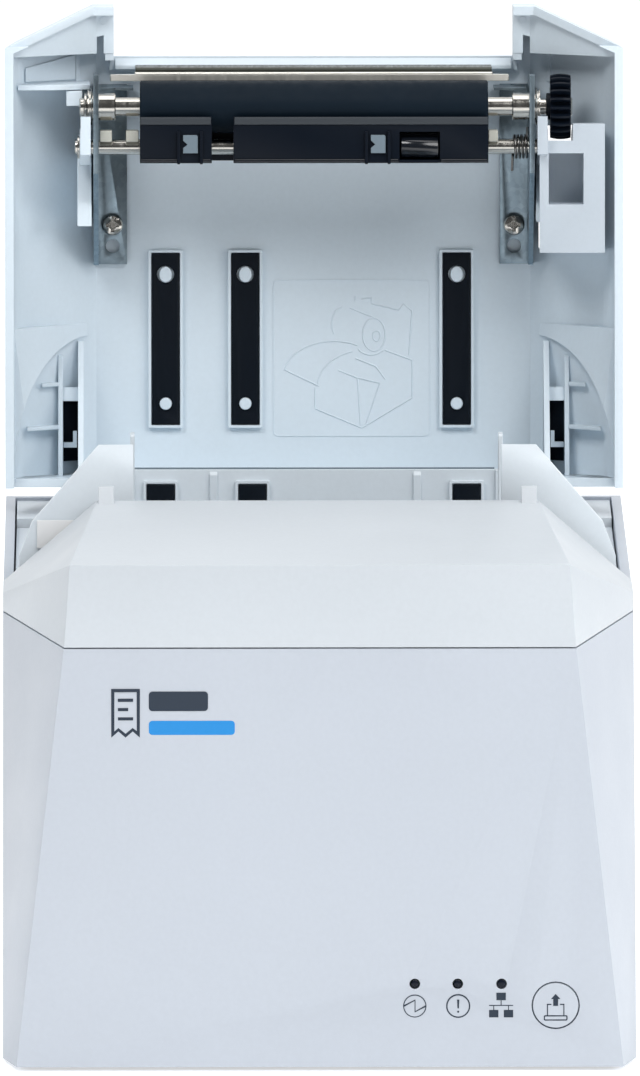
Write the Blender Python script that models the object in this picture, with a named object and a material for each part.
"""Receipt printer for 80 mm paper rolls, standing with its cover open.

Sizes are in millimetres and are turned into metres as each shape is made. X runs to the right, Y from the
front face to the back, Z up. The origin is under the middle of the open printer. Pieces of the cover are
drawn where they lie when the cover is shut, and hang from an empty on the hinge axis that turns them open.
"""

import math

import bmesh
import bpy
from mathutils import Matrix, Vector

MM = 0.001

# Housing
HALF_WIDTH = 71.0
DEPTH = 204.0
WALL = 2.2
CASE_BOTTOM = 1.0
SEAM_Z = 95.6
SIDE_TOP_Z = 98.4
FACET = ((67.8, 0.0, 2.0), (57.2, 1.0, 95.6), (71.0, 12.0, 2.0))
FRONT = ((0.0, 0.0, 0.0), (10.0, 0.0, 0.0), (0.0, 1.0, 95.6))
BEZEL_FRONT = ((0.0, 1.0, 95.9), (10.0, 1.0, 95.9), (0.0, 4.0, 114.1))
BEZEL_REAR_Y = 74.2
BEZEL_TOP = ((0.0, 4.0, 114.1), (10.0, 4.0, 114.1), (0.0, BEZEL_REAR_Y, 117.7))
BEZEL_SIDE = ((55.85, 4.0, 114.1), (71.0, 54.0, 99.8), (49.8, BEZEL_REAR_Y, 117.7))
BEZEL_TAB_X = (46.0, 49.5)
BEZEL_TAB_Z = 121.0

# Cover and its hinge
HINGE_Y = 177.0
HINGE_Z = 104.0
OPEN_DEG = 95.0
COVER_TOP = 132.0
COVER_SKIN = 2.0
CEILING_Z = 129.5
COVER_LOW_Z = 99.8
COVER_REAR_Y = 176.4
SHOULDER_X = 51.0
FLANK = ((68.5, 113.5), (71.0, 104.0))
NOSE_Y = 66.5
NOSE_SWEEP = 0.432
NOSE_END_Y = 77.4
LIP_Y = 78.4
ARM_X = 46.0
PIN_R = 2.0
EAR_R = 4.0
PIN_X = (47.8, 54.7)
POST_X = (49.0, 52.4)
RIB_X = (53.0, 54.3)

# Print mechanism
PLATEN_Y = 88.95
PLATEN_Z = 107.0
PLATEN_R = 6.0
PLATEN_HALF = 40.0
SHAFT_R = 2.2
BUSH_R = 3.2
GEAR_X = (54.1, 58.6)
PLATEN_GEAR_R = 7.6
IDLER_R = 8.0
IDLER_AT = (93.0, 91.6)
PINION_R = 4.0
PINION_AT = (82.5, 84.8)
LEVER_Y = 98.2
LEVER_Z = 108.0
LEVER_SHAFT_R = 1.8
ROLLER_AT = (98.0, 101.2)
BRACKET_X = (49.5, 50.7)
BRACKET_R = 95.6
SCREW_X = 46.3
SCREW_Y = 117.3
TOWER_RADII = (96.0, 97.6)
TOWER_TOP = 128.9
GAP = 0.3

# Paper bucket
BUCKET_HALF = 41.6
BUCKET_Y = 130.5
BUCKET_Z = 66.0
BUCKET_R = 42.0
BUCKET_SKIN = 1.8
DECK_Z = 96.0
STRIP_W = 6.3

# Front panel, sockets and feet
PORT_HOLES = {
    "power_inlet": ((-63, -35), (9, 30)),
    "usb_port": ((-22, -9), (8, 19.5)),
    "lan_port": ((-3, 13.5), (8, 22)),
    "drawer_port": ((21, 35), (8, 21)),
    "power_switch": ((45, 58), (9, 29)),
}
LAMP_X = (21.2, 30.8, 40.6)
LAMP_Z = 19.8
BUTTON_X = 52.7
BUTTON_Z = 14.9
BUTTON_R = 5.1
FEET_AT = {
    "front_left": (-54, 24),
    "front_right": (54, 24),
    "rear_left": (-56, 188),
    "rear_right": (56, 188),
}

OPEN = math.radians(OPEN_DEG)
OPEN_DEPTH = HINGE_Y + (HINGE_Y - NOSE_Y) * -math.cos(OPEN) + (COVER_TOP - HINGE_Z) * math.sin(OPEN)
Y_CENTRE = OPEN_DEPTH / 2

WHITE = ("case_white", (0.80, 0.85, 0.89), 0.45, 0.0)
COVER_WHITE = ("cover_white", (0.78, 0.83, 0.88), 0.45, 0.0)
STEEL = ("zinc_steel", (0.42, 0.46, 0.49), 0.40, 1.0)
CHROME = ("polished_steel", (0.70, 0.70, 0.69), 0.15, 1.0)
BLACK = ("black_plastic", (0.015, 0.018, 0.025), 0.40, 0.0)
RUBBER = ("platen_rubber", (0.03, 0.032, 0.036), 0.70, 0.0)
CERAMIC = ("head_ceramic", (0.55, 0.56, 0.50), 0.35, 0.0)
BOARD = ("circuit_board", (0.02, 0.16, 0.07), 0.50, 0.0)
GREY = ("grey_plastic", (0.30, 0.32, 0.34), 0.50, 0.0)
LABEL = ("label_paper", (0.90, 0.91, 0.92), 0.60, 0.0)


# ---------------------------------------------------------------- scene and materials


def clear_scene():
    for obj in list(bpy.data.objects):
        bpy.data.objects.remove(obj)


def new_collection(name):
    made = bpy.data.collections.new(name)
    bpy.context.scene.collection.children.link(made)
    return made


def material(kind):
    name, colour, roughness, metallic = kind
    found = bpy.data.materials.get(name)
    if found:
        return found
    made = bpy.data.materials.new(name)
    made.use_nodes = True
    shader = made.node_tree.nodes["Principled BSDF"]
    shader.inputs["Base Color"].default_value = (*colour, 1.0)
    shader.inputs["Roughness"].default_value = roughness
    shader.inputs["Metallic"].default_value = metallic
    return made


# ---------------------------------------------------------------- shapes, as bmeshes


def at(x, y, z):
    return Vector((x, y - Y_CENTRE, z)) * MM


def block(xs, ys, zs):
    """A box between two values along each axis."""
    middle = at(sum(xs) / 2, sum(ys) / 2, sum(zs) / 2)
    size = Vector((abs(xs[1] - xs[0]), abs(ys[1] - ys[0]), abs(zs[1] - zs[0]))) * MM
    shape = bmesh.new()
    bmesh.ops.create_cube(shape, matrix=Matrix.Translation(middle) @ Matrix.Diagonal((*size, 1.0)))
    return shape


def rod(radius, start, end, sides=24):
    """A cylinder from one point to another."""
    first, last = at(*start), at(*end)
    turn = (last - first).to_track_quat("Z", "Y").to_matrix().to_4x4()
    shape = bmesh.new()
    bmesh.ops.create_cone(
        shape, cap_ends=True, segments=sides, radius1=radius * MM, radius2=radius * MM,
        depth=(last - first).length, matrix=Matrix.Translation((first + last) / 2) @ turn,
    )
    return shape


def rod_x(radius, xs, y, z, sides=24):
    return rod(radius, (xs[0], y, z), (xs[1], y, z), sides)


TURNS = {
    "X": Matrix(((0, 0, 1, 0), (1, 0, 0, 0), (0, 1, 0, 0), (0, 0, 0, 1))),
    "Y": Matrix(((1, 0, 0, 0), (0, 0, -1, 0), (0, 1, 0, 0), (0, 0, 0, 1))),
    "Z": Matrix.Identity(4),
}


def prism(outlines, axis, ends):
    """Closed outlines, filled and extruded along an axis: (y, z) pairs for X, (x, z) for Y, (x, y) for Z."""
    curve = bpy.data.curves.new("outline", "CURVE")
    curve.dimensions = "2D"
    curve.fill_mode = "BOTH"
    curve.extrude = abs(ends[1] - ends[0]) / 2 * MM
    for outline in outlines:
        spline = curve.splines.new("POLY")
        spline.points.add(len(outline) - 1)
        spline.use_cyclic_u = True
        for point, (u, v) in zip(spline.points, outline):
            point.co = (u * MM, v * MM, 0.0, 1.0)
    guide = bpy.data.objects.new("outline", curve)
    bpy.context.scene.collection.objects.link(guide)
    graph = bpy.context.evaluated_depsgraph_get()
    mesh = bpy.data.meshes.new_from_object(guide.evaluated_get(graph))
    bpy.data.objects.remove(guide)
    shape = bmesh.new()
    shape.from_mesh(mesh)
    bpy.data.meshes.remove(mesh)
    middle = sum(ends) / 2
    offset = at(*{"X": (middle, 0, 0), "Y": (0, middle, 0), "Z": (0, 0, middle)}[axis])
    bmesh.ops.transform(shape, matrix=Matrix.Translation(offset) @ TURNS[axis], verts=shape.verts)
    bmesh.ops.remove_doubles(shape, verts=shape.verts, dist=1e-6)
    bmesh.ops.recalc_face_normals(shape, faces=shape.faces)
    return shape


def arc(centre, radius, start_deg, end_deg, steps):
    turns = [math.radians(start_deg + (end_deg - start_deg) * i / steps) for i in range(steps + 1)]
    return [(centre[0] + radius * math.cos(a), centre[1] + radius * math.sin(a)) for a in turns]


def plane(points, inset=0.0, mirrored=False):
    """(point, outward normal) of the plane through three points, moved inwards by an inset."""
    side = -1 if mirrored else 1
    a, b, c = (at(side * x, y, z) for x, y, z in points)
    normal = (b - a).cross(c - a).normalized()
    centre = at(0, DEPTH / 2, SEAM_Z / 2)
    if (a - centre).dot(normal) < 0:
        normal.negate()
    return a - normal * inset * MM, normal


def slice_off(shape, point, normal):
    """Removes what lies beyond a plane, and closes the cut."""
    everything = shape.verts[:] + shape.edges[:] + shape.faces[:]
    found = bmesh.ops.bisect_plane(
        shape, geom=everything, plane_co=point, plane_no=normal, clear_outer=True, dist=1e-7
    )
    rim = [item for item in found["geom_cut"] if isinstance(item, bmesh.types.BMEdge)]
    bmesh.ops.edgeloop_fill(shape, edges=rim)
    bmesh.ops.recalc_face_normals(shape, faces=shape.faces)
    return shape


def merged(*shapes):
    """Several separate shapes in one bmesh, for use as a single cutter."""
    together = bmesh.new()
    for shape in shapes:
        mesh = bpy.data.meshes.new("merge")
        shape.to_mesh(mesh)
        together.from_mesh(mesh)
        bpy.data.meshes.remove(mesh)
        shape.free()
    return together


def gear(teeth, outer, depth, xs, y, z, bore):
    """A spur gear with its axis along X and a round bore."""
    outline = []
    for tooth in range(teeth):
        for share, radius in ((0.0, outer - depth), (0.22, outer), (0.48, outer), (0.7, outer - depth)):
            turn = 2 * math.pi * (tooth + share) / teeth
            outline.append((y + radius * math.cos(turn), z + radius * math.sin(turn)))
    return prism([outline, arc((y, z), bore, 0, 342, 19)], "X", xs)


def coil(radius, wire, start, end, turns, points_per_turn=12):
    """A coil spring: a round wire on a helix from one point to another."""
    first, last = at(*start), at(*end)
    along = (last - first).normalized()
    across = along.orthogonal().normalized()
    other = along.cross(across)
    curve = bpy.data.curves.new("coil", "CURVE")
    curve.dimensions = "3D"
    curve.bevel_depth = wire * MM
    curve.bevel_resolution = 1
    curve.use_fill_caps = True
    spline = curve.splines.new("POLY")
    count = turns * points_per_turn
    spline.points.add(count)
    for i, point in enumerate(spline.points):
        turn = 2 * math.pi * i / points_per_turn
        place = first.lerp(last, i / count)
        place = place + (across * math.cos(turn) + other * math.sin(turn)) * radius * MM
        point.co = (*place, 1.0)
    guide = bpy.data.objects.new("coil", curve)
    bpy.context.scene.collection.objects.link(guide)
    graph = bpy.context.evaluated_depsgraph_get()
    mesh = bpy.data.meshes.new_from_object(guide.evaluated_get(graph))
    bpy.data.objects.remove(guide)
    shape = bmesh.new()
    shape.from_mesh(mesh)
    bpy.data.meshes.remove(mesh)
    bmesh.ops.remove_doubles(shape, verts=shape.verts, dist=1e-6)
    return shape


# ---------------------------------------------------------------- objects


def place(shape, name, collection, origin, pivot):
    """Turns a bmesh into an object whose origin is at a point, hung from the pivot if there is one."""
    home = at(*origin)
    bmesh.ops.translate(shape, verts=shape.verts, vec=-home)
    mesh = bpy.data.meshes.new(name)
    shape.to_mesh(mesh)
    shape.free()
    obj = bpy.data.objects.new(name, mesh)
    collection.objects.link(obj)
    obj.location = home
    if pivot:
        obj.parent = pivot
        obj.location = home - at(0, HINGE_Y, HINGE_Z)
    return obj


def add(name, shape, kind, changes=(), origin=(0, 0, 0), pivot=None, smooth=False):
    """Adds a named part. Each change is (operation, shape): UNION, DIFFERENCE or INTERSECT."""
    obj = place(shape, name, PARTS, origin, pivot)
    obj.data.materials.append(material(kind))
    if smooth:
        obj.data.shade_smooth()
        obj.data.set_sharp_from_angle(angle=math.radians(35))
    for number, (operation, other) in enumerate(changes):
        cutter = place(other, f"{name}_cutter_{number}", CUTTERS, origin, pivot)
        cutter.hide_render = True
        cutter.display_type = "WIRE"
        modifier = obj.modifiers.new(f"{operation.lower()}_{number}", "BOOLEAN")
        modifier.operation = operation
        modifier.solver = "EXACT"
        modifier.object = cutter
    return obj


def cut(*shapes):
    return ("DIFFERENCE", merged(*shapes))


def joined(shape):
    return ("UNION", shape)


# ---------------------------------------------------------------- housing


def housing_solid(inset, zs, planes):
    """The housing's outer form between two heights, or the hollow inside it when there is an inset."""
    half = HALF_WIDTH - inset
    shape = block((-half, half), (-5, DEPTH - inset), zs)
    for points in planes:
        slice_off(shape, *plane(points, inset))
        if points[0][0]:
            slice_off(shape, *plane(points, inset, mirrored=True))
    return shape


def lower_case():
    shape = housing_solid(0, (CASE_BOTTOM, SIDE_TOP_Z), (FRONT, FACET))
    ports = [block(xs, (DEPTH - 5, DEPTH + 5), zs) for xs, zs in PORT_HOLES.values()]
    lamps = [rod(1.2, (x, -5, LAMP_Z), (x, 5, LAMP_Z), 16) for x in LAMP_X]
    button = rod(BUTTON_R + GAP, (BUTTON_X, -5, BUTTON_Z), (BUTTON_X, 5, BUTTON_Z), 32)
    return add("lower_case", shape, WHITE, [
        cut(block((-80, 80), (-10, BEZEL_REAR_Y + GAP), (SEAM_Z, 110))),
        cut(housing_solid(WALL, (-5, 120), (FRONT, FACET))),
        cut(*ports, *lamps, button),
    ])


def front_bezel():
    """The bezel over the print mechanism, with two small tabs on its rear edge."""
    planes = (BEZEL_FRONT, BEZEL_TOP, FACET, BEZEL_SIDE)
    outer = housing_solid(0, (SEAM_Z + GAP, 130), planes)
    slice_off(outer, at(0, BEZEL_REAR_Y, 0), Vector((0, 1, 0)))
    inner, outside = BEZEL_TAB_X
    y, z = BEZEL_REAR_Y, BEZEL_TAB_Z
    outline = [(y - 5, 116), (y, 116), (y, z), (y - 1.5, z)]
    tabs = [joined(prism([outline], "X", (s * inner, s * outside))) for s in (-1, 1)]
    return add("front_bezel", outer, WHITE, [cut(housing_solid(WALL, (80, 130), planes)), *tabs])


def base_plate():
    shape = housing_solid(WALL + GAP, (CASE_BOTTOM + 0.2, CASE_BOTTOM + 2.2), (FRONT, FACET))
    wells = [rod(6.3, (x, y, -1), (x, y, 2.5), 24) for x, y in FEET_AT.values()]
    return add("base_plate", shape, GREY, [cut(*wells)])


def feet():
    for name, (x, y) in FEET_AT.items():
        add(f"foot_{name}", rod(6, (x, y, 0), (x, y, 2.2), 24), RUBBER, origin=(x, y, 0), smooth=True)


def front_panel():
    """The feed button, the three indicator lenses and the small board behind them."""
    for name, x in zip(("power", "error", "network"), LAMP_X):
        add(f"lamp_{name}", rod(0.9, (x, 0.2, LAMP_Z), (x, 4, LAMP_Z), 16), BLACK, smooth=True)
    cap = rod(BUTTON_R, (BUTTON_X, 0.35, BUTTON_Z), (BUTTON_X, 3.9, BUTTON_Z), 32)
    flange = rod(BUTTON_R + 1, (BUTTON_X, 3.1, BUTTON_Z), (BUTTON_X, 4.2, BUTTON_Z), 32)
    add("feed_button", cap, WHITE, [joined(flange)], origin=(BUTTON_X, 0.35, BUTTON_Z), smooth=True)
    add("panel_board", block((13, 60), (5.4, 7), (8, 25)), BOARD)


def rear_ports():
    for name, (xs, zs) in PORT_HOLES.items():
        if name == "power_switch":
            continue
        body = block((xs[0] + GAP, xs[1] - GAP), (184, DEPTH - 0.2), (zs[0] + GAP, zs[1] - GAP))
        rim = 2.0
        mouth = block((xs[0] + rim, xs[1] - rim), (190, DEPTH + 1), (zs[0] + rim, zs[1] - rim))
        add(name, body, BLACK if name == "power_inlet" else GREY, [cut(mouth)])
    (x0, x1), (z0, z1) = PORT_HOLES["power_switch"]
    middle = (z0 + z1) / 2
    outline = [(194, middle - 4), (201.6, z0 + 1.2), (202.4, middle), (205.0, z1 - 1.2), (194, middle + 4)]
    add("power_switch", prism([outline], "X", (x0 + 0.6, x1 - 0.6)), BLACK, origin=(0, 200, middle))


# ---------------------------------------------------------------- paper bucket and deck


def bucket_outline(offset, top):
    """A trough with upright walls and a round bottom, as (y, z) points."""
    radius = BUCKET_R + offset
    bottom = arc((BUCKET_Y, BUCKET_Z), radius, 180, 360, 20)
    return [(BUCKET_Y - radius, top), *bottom, (BUCKET_Y + radius, top)]


def latch_post(side):
    """A post on the deck whose nose holds down the hook of the cover latch."""
    outline = [(86, 95), (89, 95), (89, 100.6), (91.4, 100.6), (91.4, 102.4), (86, 102.4)]
    return joined(prism([outline], "X", (side * 51.1, side * 53.5)))


def paper_bucket():
    width = (-BUCKET_HALF - 1.8, BUCKET_HALF + 1.8)
    shell = prism([bucket_outline(BUCKET_SKIN, DECK_Z)], "X", width)
    rear_y = BUCKET_Y + BUCKET_R
    back = block(width, (rear_y - 1, rear_y + 1.4), (90, 109.4))
    decks = [block((s * (BUCKET_HALF + 0.2), s * 68.4), (78.6, 172), (DECK_Z - 2, DECK_Z)) for s in (-1, 1)]
    hollow = prism([bucket_outline(0, 120)], "X", (-BUCKET_HALF, BUCKET_HALF))
    idler_slot = block((53.9, 59.0), (84.4, 101.6), (90, 100))
    changes = [joined(back), joined(decks[0]), joined(decks[1]), latch_post(-1), latch_post(1)]
    return add("paper_bucket", shell, WHITE, [*changes, cut(hollow), cut(idler_slot)])


def bucket_strips():
    back = BUCKET_Y + BUCKET_R
    for name, x in (("left", -35.3), ("middle", -14.2), ("right", 35.0)):
        shape = block((x - STRIP_W / 2, x + STRIP_W / 2), (back - 0.9, back - GAP), (68, 106))
        add(f"bucket_strip_{name}", shape, BLACK)


def tower(side, name):
    """An upright bulkhead beside the paper path, curved about the hinge so that the cover clears it."""
    half = [(41.6, 96.4), (41.6, TOWER_TOP), (49.5, TOWER_TOP), (64.5, 112), (67.5, 104), (67.5, 96.4)]
    front = [(side * x, z) for x, z in half]
    inner, outer = TOWER_RADII
    centre = (HINGE_Y, HINGE_Z)
    curved = prism([arc(centre, outer, 160, 190, 10) + arc(centre, inner, 190, 160, 10)], "X", (-75, 75))
    slice_off(curved, at(0, 81.9, TOWER_TOP - 2.9), Vector((0, -2.9, 2.0)).normalized())
    add(name, prism([front], "Y", (74, 90)), WHITE, [("INTERSECT", curved)])


def rear_deck():
    """The fixed cover behind the bucket, with the two hinge posts."""
    shape = block((-68.4, 68.4), (174.9, DEPTH - WALL - GAP), (94.5, 97.7))
    changes = []
    holes = []
    for side in (-1, 1):
        top = arc((HINGE_Y, HINGE_Z), EAR_R, 0, 180, 12)
        post = [(HINGE_Y + EAR_R, 96.4), *top, (HINGE_Y - EAR_R, 96.4)]
        changes.append(joined(prism([post], "X", (side * POST_X[0], side * POST_X[1]))))
        holes.append(rod_x(PIN_R + GAP, (side * 48, side * 53), HINGE_Y, HINGE_Z, 20))
    return add("rear_deck", shape, WHITE, [*changes, cut(*holes)])


def hinge_pins():
    for side, name in ((-1, "left"), (1, "right")):
        shape = rod_x(PIN_R, (side * PIN_X[0], side * PIN_X[1]), HINGE_Y, HINGE_Z, 20)
        add(f"hinge_pin_{name}", shape, STEEL, origin=(0, HINGE_Y, HINGE_Z), smooth=True)


# ---------------------------------------------------------------- works inside the housing


def chassis_frame():
    """A bent sheet tray that carries the print head and the cutter."""
    floor = block((-45, 45), (46, 78.2), (93, 94.2))
    sides = [block((s * 43.8, s * 45), (46, 78.2), (93.5, 106.6)) for s in (-1, 1)]
    front = block((-44.5, 44.5), (46, 47.2), (93.5, 106.6))
    anvil = block((-44.5, 44.5), (68.5, 69.7), (93.5, 106.6))
    return add("chassis_frame", floor, STEEL, [joined(s) for s in (*sides, front, anvil)])


def print_head():
    outline = [(77, 95), (82.4, 95), (82.4, 110.3), (80.7, 110.3), (80.7, 107), (77, 107)]
    add("print_head", prism([outline], "X", (-40, 40)), CERAMIC, origin=(0, 79, 96))
    for side, name in ((-1, "left"), (1, "right")):
        shape = coil(2.2, 0.35, (side * 22, 70.4, 101), (side * 22, 76.3, 101), 4)
        add(f"head_spring_{name}", shape, STEEL, smooth=True)


def cutter():
    body = block((-40.5, 40.5), (44, 79.4), (107.5, 113.6))
    slot = block((-39.6, 39.6), (50, 85), (111.4, 113.0))
    add("cutter_unit", body, GREY, [cut(slot)])
    blade = block((-39, 39), (53, 78.2), (111.8, 112.6))
    add("cutter_blade", blade, CHROME, origin=(0, 78.2, 112.2))
    motor = rod_x(7, (-65, -48), 60, 85, 24)
    add("cutter_motor", motor, STEEL, smooth=True)


def drive():
    """The feed motor, its pinion, and the idler that meets the platen gear when the cover is shut."""
    add("feed_motor", rod_x(8.8, (44.6, 53), *PINION_AT, 28), STEEL, smooth=True)
    pinion = gear(12, PINION_R, 1.1, GEAR_X, *PINION_AT, 1.0)
    add("motor_pinion", pinion, CHROME, origin=(GEAR_X[0], *PINION_AT))
    idler = gear(24, IDLER_R, 1.1, GEAR_X, *IDLER_AT, 1.5)
    add("idler_gear", idler, BLACK, origin=(GEAR_X[0], *IDLER_AT))


def electronics():
    add("main_board", block((-60, 60), (60, 200), (5.8, 7.4)), BOARD)
    add("power_supply", block((-66.5, -46), (92, 168), (12, 60)), STEEL)


def label():
    outline = [(78.85, 106), (79.1, 106), (79.45, 112.4), (79.2, 112.4)]
    add("blank_label", prism([outline], "X", (-63.4, -49.8)), LABEL)


# ---------------------------------------------------------------- cover


def cover_outline(skin, low):
    (flank_x, flank_z), (side_x, side_z) = FLANK
    top = COVER_TOP if not skin else CEILING_Z
    shrink = 0.45 * skin
    half = [(side_x - skin, low), (side_x - skin, side_z + shrink / 2)]
    half += [(flank_x - skin * 0.95, flank_z - shrink), (SHOULDER_X - shrink, top)]
    return half + [(-x, z) for x, z in reversed(half)]


def hinge_rib(side):
    """A rib from the cover's ceiling that ends in an eye round the hinge pin."""
    eye = arc((HINGE_Y, HINGE_Z), 4.5, -100, 60, 10)
    outline = [(144, 130), (144, 124), (168, 107), *eye, (175.4, 130)]
    return joined(prism([outline], "X", (side * RIB_X[0], side * RIB_X[1])))


def swept_nose(shape, inset):
    """Slices the front of the cover: flat in the middle and swept back over each arm."""
    slice_off(shape, at(0, NOSE_Y + inset, 0), Vector((0, -1, 0)))
    for side in (-1, 1):
        point = at(side * SHOULDER_X, NOSE_Y + inset, 0)
        slice_off(shape, point, Vector((side * NOSE_SWEEP, -1, 0)).normalized())
    return shape


def arm_floor(side):
    """The sloping plate that closes the underside of an arm near its nose."""
    half = [(46, 121.4), (49.9, 121.4), (70, 102.6), (70, 104.6), (49.9, 123.4), (46, 123.4)]
    plate = prism([[(side * x, z) for x, z in half]], "Y", (60, NOSE_END_Y))
    return joined(swept_nose(plate, 0.5))


def arm_notch(side):
    """A slot in the arm's floor beside its inner cheek."""
    outline = [(side * 49.9, 80), (side * 49.9, 73.6), (side * 48.3, 73.2), (side * 48.3, 80)]
    return prism([outline], "Z", (112, 128.6))


def cover_shell(pivot):
    shape = swept_nose(prism([cover_outline(0, COVER_LOW_Z)], "Y", (60, COVER_REAR_Y)), 0)
    inside = prism([cover_outline(COVER_SKIN, 80)], "Y", (60, COVER_REAR_Y - COVER_SKIN))
    hollow = swept_nose(inside, COVER_SKIN)
    bezel_room = housing_solid(-0.6, (90, 130), (BEZEL_TOP, BEZEL_SIDE))
    slice_off(bezel_room, at(0, BEZEL_REAR_Y + 0.6, 0), Vector((0, 1, 0)))
    below_back = block((-69, 69), (172, 180), (90, HINGE_Z))
    front_middle = block((-ARM_X, ARM_X), (55, LIP_Y), (90, 140))
    opening = [(93.2, 111.6), (95.4, 140), (122.8, 140), (122.8, 111.6)]
    lever_window = prism([opening], "X", (52.0, 66.5))
    lip = block((-ARM_X - 1, ARM_X + 1), (LIP_Y, 81.6), (128.2, 131))
    cheek = [(67.3, 131), (67.3, 121.6), (79, 121.6), (79, 131)]
    cheeks = [prism([cheek], "X", (s * ARM_X, s * (ARM_X + 2))) for s in (-1, 1)]
    pins = [rod_x(PIN_R + GAP, (s * 47, s * 55.5), HINGE_Y, HINGE_Z, 20) for s in (-1, 1)]
    posts = [rod_x(EAR_R + 0.6, (s * 48.6, s * 52.8), HINGE_Y, HINGE_Z, 20) for s in (-1, 1)]
    return add("cover_shell", shape, COVER_WHITE, [
        cut(hollow), cut(below_back), cut(front_middle), joined(lip), joined(cheeks[0]), joined(cheeks[1]),
        arm_floor(-1), arm_floor(1), hinge_rib(-1), hinge_rib(1), cut(lever_window), cut(*pins), cut(*posts),
        cut(bezel_room), cut(arm_notch(-1), arm_notch(1)),
    ], pivot=pivot)


def cover_strips(pivot):
    for name, x in (("left", -34.1), ("middle", -15.7), ("right", 33.1)):
        shape = block((x - STRIP_W / 2, x + STRIP_W / 2), (123.9, 163.5), (128.6, CEILING_Z - GAP))
        near = rod(2.0, (x, 128.8, 120), (x, 128.8, 135), 16)
        far = rod(1.5, (x, 158.7, 120), (x, 158.7, 135), 16)
        add(f"cover_strip_{name}", shape, BLACK, [cut(near, far)], pivot=pivot)


def bracket(side, name, pivot):
    """A folded bracket: a flange screwed to the cover, and an upright plate that carries both shafts."""
    s = side
    top = CEILING_Z - GAP
    flange = block((s * 43, s * 49.9), (84.8, 126.4), (top - 1.2, top))
    edge = arc((HINGE_Y, HINGE_Z), BRACKET_R, 165.2, 181.5, 6)
    edge += [(104, 101.5), (108, 106), (126.4, 124), (126.4, top - 0.7)]
    plate = prism([edge], "X", (s * BRACKET_X[0], s * BRACKET_X[1]))
    holes = cut(
        rod_x(BUSH_R + GAP, (s * 48, s * 52), PLATEN_Y, PLATEN_Z),
        rod_x(LEVER_SHAFT_R + GAP, (s * 48, s * 52), LEVER_Y, LEVER_Z, 20),
        rod(1.7, (s * SCREW_X, SCREW_Y, 120), (s * SCREW_X, SCREW_Y, 135), 16),
        rod(1.6, (s * SCREW_X, SCREW_Y + 4.9, 120), (s * SCREW_X, SCREW_Y + 4.9, 135), 16),
    )
    add(f"bracket_{name}", flange, STEEL, [joined(plate), holes], pivot=pivot)
    head = rod(3.1, (s * SCREW_X, SCREW_Y, top - 3.4), (s * SCREW_X, SCREW_Y, top - 1.5), 24)
    recess = cut(block((s * SCREW_X - 2, s * SCREW_X + 2), (SCREW_Y - 0.4, SCREW_Y + 0.4), (120, top - 2.4)))
    across = cut(block((s * SCREW_X - 0.4, s * SCREW_X + 0.4), (SCREW_Y - 2, SCREW_Y + 2), (120, top - 2.4)))
    add(f"bracket_screw_{name}", head, CHROME, [recess, across], pivot=pivot, smooth=True)


def platen(pivot):
    home = (0, PLATEN_Y, PLATEN_Z)
    spot = (PLATEN_Y, PLATEN_Z)
    add("platen_shaft", rod_x(SHAFT_R, (-54, 59.4), *spot), CHROME, origin=home, pivot=pivot, smooth=True)
    sleeve = rod_x(PLATEN_R, (-PLATEN_HALF, PLATEN_HALF), *spot, 36)
    bore = cut(rod_x(SHAFT_R + GAP, (-60, 60), *spot, 24))
    add("platen_rubber", sleeve, RUBBER, [bore], origin=home, pivot=pivot, smooth=True)
    wheel = gear(22, PLATEN_GEAR_R, 1.1, GEAR_X, *spot, SHAFT_R + GAP)
    add("platen_gear", wheel, BLACK, origin=home, pivot=pivot)
    for side, name in ((-1, "left"), (1, "right")):
        bush = rod_x(BUSH_R, (side * 45.5, side * 52.0), *spot)
        flange = joined(rod_x(BUSH_R + 1, (side * 51.0, side * 52.0), *spot))
        bore = cut(rod_x(SHAFT_R + GAP, (-60, 60), *spot, 24))
        add(f"platen_bush_{name}", bush, CHROME, [flange, bore], origin=home, pivot=pivot, smooth=True)


def fixed_blade(pivot):
    add("fixed_blade", block((-46.9, 45), (82.2, 83.7), (112.9, 116.4)), CHROME, pivot=pivot)


def paper_guide(pivot):
    outline = [(90.8, 99), (101.5, 99), (101.5, 112), (97, 113), (93.2, 113)]
    outline += [(93.2, 100.1), (90.8, 100.1)]
    shaft_bore = rod_x(LEVER_SHAFT_R + GAP, (-60, 60), LEVER_Y, LEVER_Z, 20)
    platen_room = rod_x(PLATEN_R + 0.6, (-60, 60), PLATEN_Y, PLATEN_Z, 36)
    notch = block((-23.5, -18.5), (88, 110), (98, 110.4))
    roller_room = block((19.6, 28.9), (94.3, 100.8), (98, 104.9))
    add("paper_guide", prism([outline], "X", (-40, 40)), BLACK, [
        cut(platen_room), cut(shaft_bore), cut(notch, roller_room),
    ], origin=(0, LEVER_Y, LEVER_Z), pivot=pivot)
    roller = rod_x(2.5, (20, 28.5), *ROLLER_AT, 24)
    add("guide_roller", roller, BLACK, origin=(20, *ROLLER_AT), pivot=pivot, smooth=True)


def latch_hook(side):
    outline = [(95.6, 107), (95.2, 100.3), (90.8, 100.3), (90.8, 98.3), (99.5, 98.3), (100.5, 107)]
    return joined(prism([outline], "X", (side * 51.3, side * 53.6)))


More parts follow.
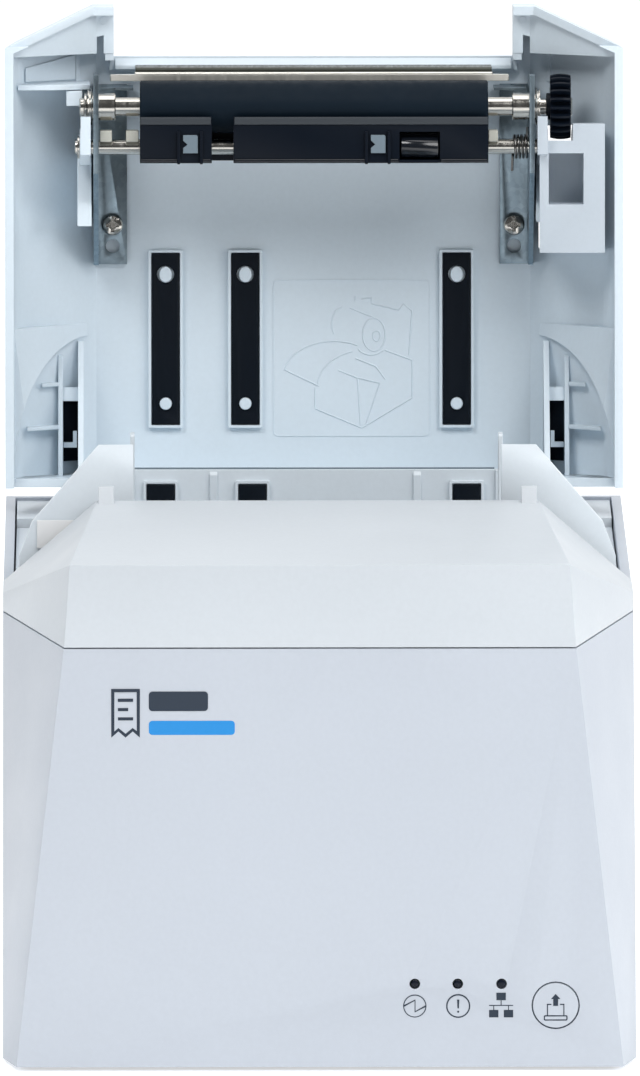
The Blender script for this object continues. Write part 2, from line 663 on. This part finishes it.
def latch(pivot):
    """The cover release: a lever in the right flank, a shaft across, and a hook at each end of it."""
    home = (0, LEVER_Y, LEVER_Z)
    spot = (LEVER_Y, LEVER_Z)
    shaft = rod_x(LEVER_SHAFT_R, (-55, 53.8), *spot, 20)
    add("lever_shaft", shaft, CHROME, origin=home, pivot=pivot, smooth=True)
    paddle = prism([[(52.5, 101), (66.2, 101), (66.2, 116.2), (52.5, 130.7)]], "Y", (92.6, 122.3))
    gear_room = prism([[(90, 90), (95.2, 90), (101.0, 140), (90, 140)]], "X", (50, 59.4))
    pocket = cut(block((53.9, 61.9), (99.4, 111.2), (90, 113)), gear_room)
    front_slope = cut(prism([[(88, 104.5), (92.6, 104.5), (98.1, 134), (88, 134)]], "X", (50, 70)))
    bore = cut(rod_x(LEVER_SHAFT_R + GAP, (45, 56), *spot, 20))
    hub = joined(rod_x(4.2, (51.3, 53.8), *spot))
    skirt = joined(block((51.8, 66.8), (92.6, 122.3), (101, 102.4)))
    changes = [skirt, pocket, front_slope, hub, latch_hook(1), bore]
    add("release_lever", paddle, COVER_WHITE, changes, origin=home, pivot=pivot)
    left_hub = rod_x(4.2, (-53.8, -51.3), *spot)
    left_bore = cut(rod_x(LEVER_SHAFT_R + GAP, (-56, -45), *spot, 20))
    add("left_latch", left_hub, COVER_WHITE, [latch_hook(-1), left_bore], origin=home, pivot=pivot)
    spring = coil(2.6, 0.4, (45.2, *spot), (48.8, *spot), 4)
    add("lever_spring", spring, STEEL, origin=home, pivot=pivot, smooth=True)


def build_cover():
    pivot = bpy.data.objects.new("cover_pivot", None)
    PARTS.objects.link(pivot)
    pivot.location = at(0, HINGE_Y, HINGE_Z)
    pivot.rotation_euler = (-OPEN, 0, 0)
    cover_shell(pivot)
    cover_strips(pivot)
    for side, name in ((-1, "left"), (1, "right")):
        bracket(side, name, pivot)
    platen(pivot)
    fixed_blade(pivot)
    paper_guide(pivot)
    latch(pivot)


def build_body():
    lower_case()
    front_bezel()
    base_plate()
    feet()
    front_panel()
    rear_ports()
    paper_bucket()
    bucket_strips()
    tower(-1, "tower_left")
    tower(1, "tower_right")
    rear_deck()
    hinge_pins()
    chassis_frame()
    print_head()
    cutter()
    drive()
    electronics()
    label()


clear_scene()
PARTS = new_collection("receipt_printer")
CUTTERS = new_collection("cutters")
build_body()
build_cover()
